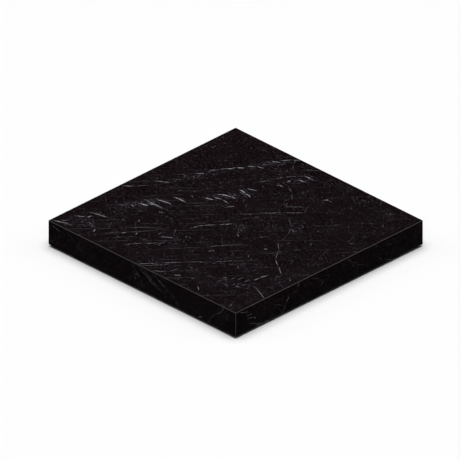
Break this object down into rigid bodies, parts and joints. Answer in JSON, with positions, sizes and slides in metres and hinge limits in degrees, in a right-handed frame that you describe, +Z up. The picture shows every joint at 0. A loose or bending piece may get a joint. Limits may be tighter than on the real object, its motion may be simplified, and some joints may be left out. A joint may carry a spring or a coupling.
{
  "type": "stone tooling slab",
  "caption": "Square block of black white-veined stone with eased edges on low rubber feet, a solid flat surface for stamping and tooling leather.",
  "frame": {"origin": "on the bench, under the middle of the slab, level with the feet's treads", "axes": "+Z up through the work surface, X and Y along the slab's sides"},
  "size_m": [0.305, 0.305, 0.0345],
  "materials": {
    "black_stone": "honed to a low sheen on the top and sides, sawn underneath, with fine white veins",
    "foot_rubber": "matt moulded",
    "adhesive_foam": "grey closed-cell foam tape"
  },
  "bodies": {
    "root": {"stone_slab": "black_stone", "foot_front_left": "foot_rubber", "adhesive_front_left": "adhesive_foam", "foot_front_right": "foot_rubber", "adhesive_front_right": "adhesive_foam", "foot_back_left": "foot_rubber", "adhesive_back_left": "adhesive_foam", "foot_back_right": "foot_rubber", "adhesive_back_right": "adhesive_foam"}
  },
  "joints": []
}
